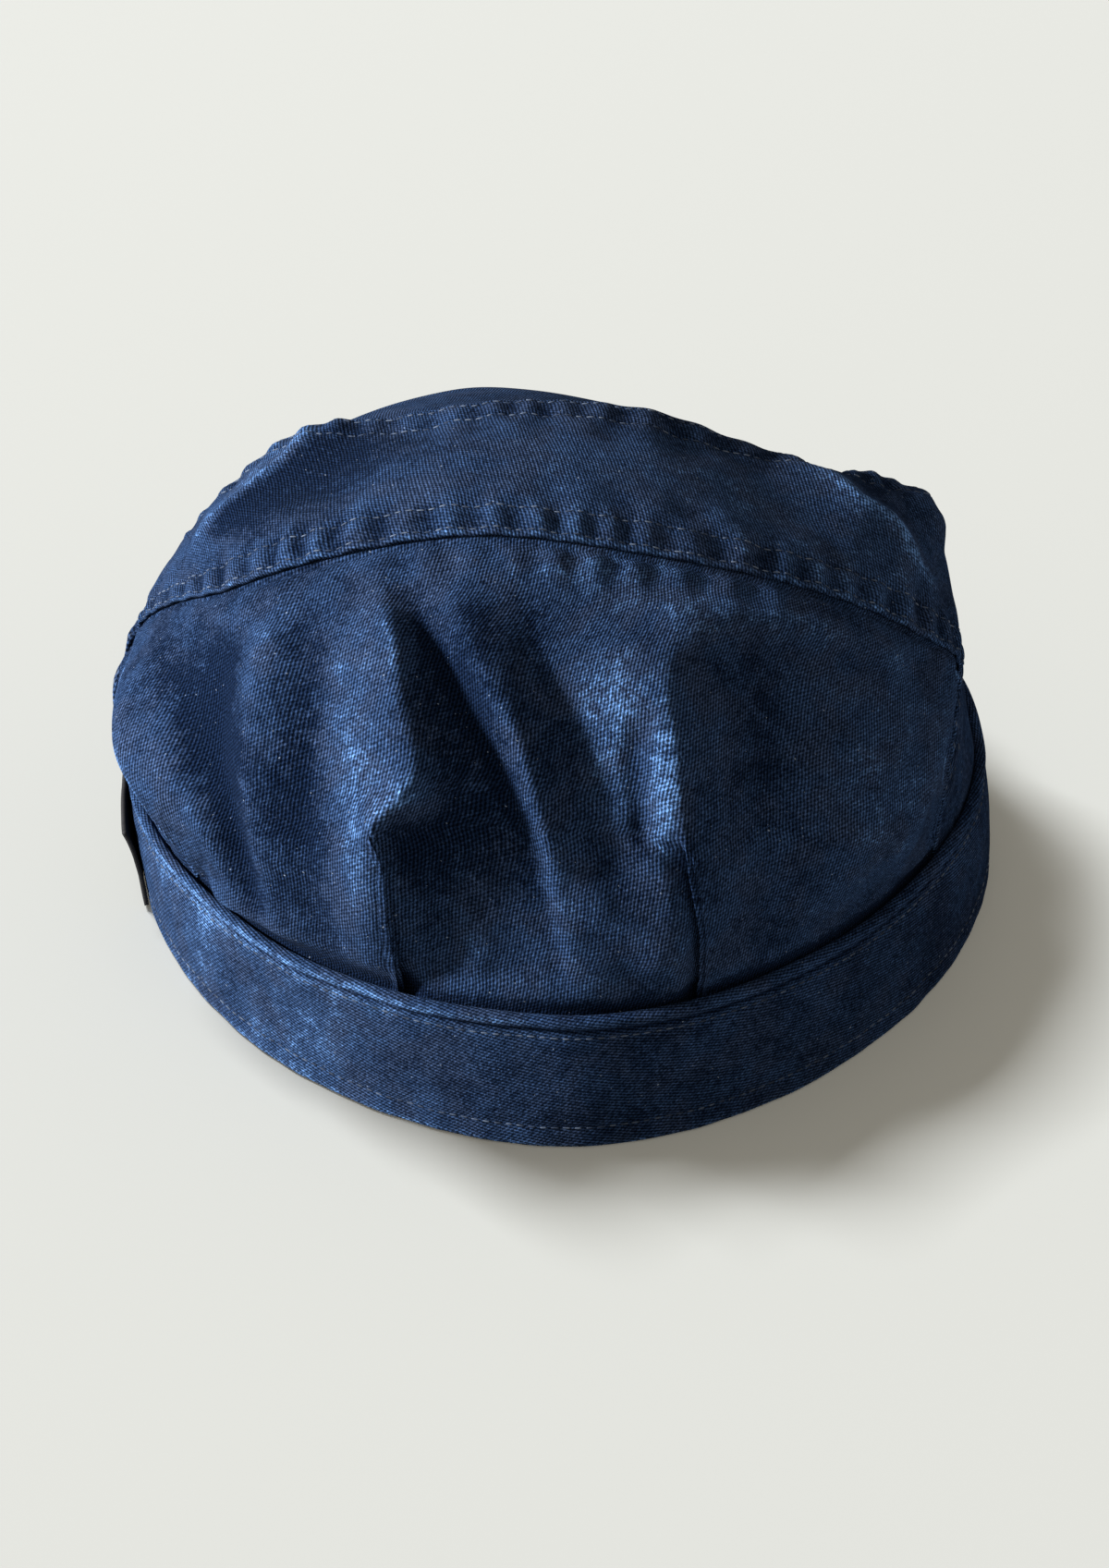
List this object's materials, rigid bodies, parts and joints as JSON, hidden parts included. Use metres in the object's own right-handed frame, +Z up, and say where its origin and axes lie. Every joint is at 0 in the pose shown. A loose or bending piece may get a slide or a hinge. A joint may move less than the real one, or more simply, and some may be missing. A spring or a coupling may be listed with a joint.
{
  "type": "engineer cap",
  "caption": "Soft cloth engineer cap with a full pleated crown of lapped panels, a turned-up band around an open head hollow and a curved peak in front.",
  "frame": {"origin": "on the resting plane under the middle of the cap's box, peak included", "axes": "+Y to the tip of the peak, +Z up through the crown, -X to the wearer's left"},
  "size_m": [0.1946, 0.2512, 0.1127],
  "materials": {
    "crown_cloth": "washed navy cotton canvas, worn pale on the ridges",
    "strip_cloth": "washed navy cotton canvas with puckered seams",
    "band_cloth": "washed navy cotton twill, worn pale on its edges",
    "peak_cloth": "washed navy cotton canvas over a stiffener",
    "label_tape": "bare black woven tape"
  },
  "bodies": {
    "root": {"back_panel": "crown_cloth", "top_panel": "strip_cloth", "front_panel": "crown_cloth", "band": "band_cloth", "peak": "peak_cloth", "side_label": "label_tape"}
  },
  "joints": []
}
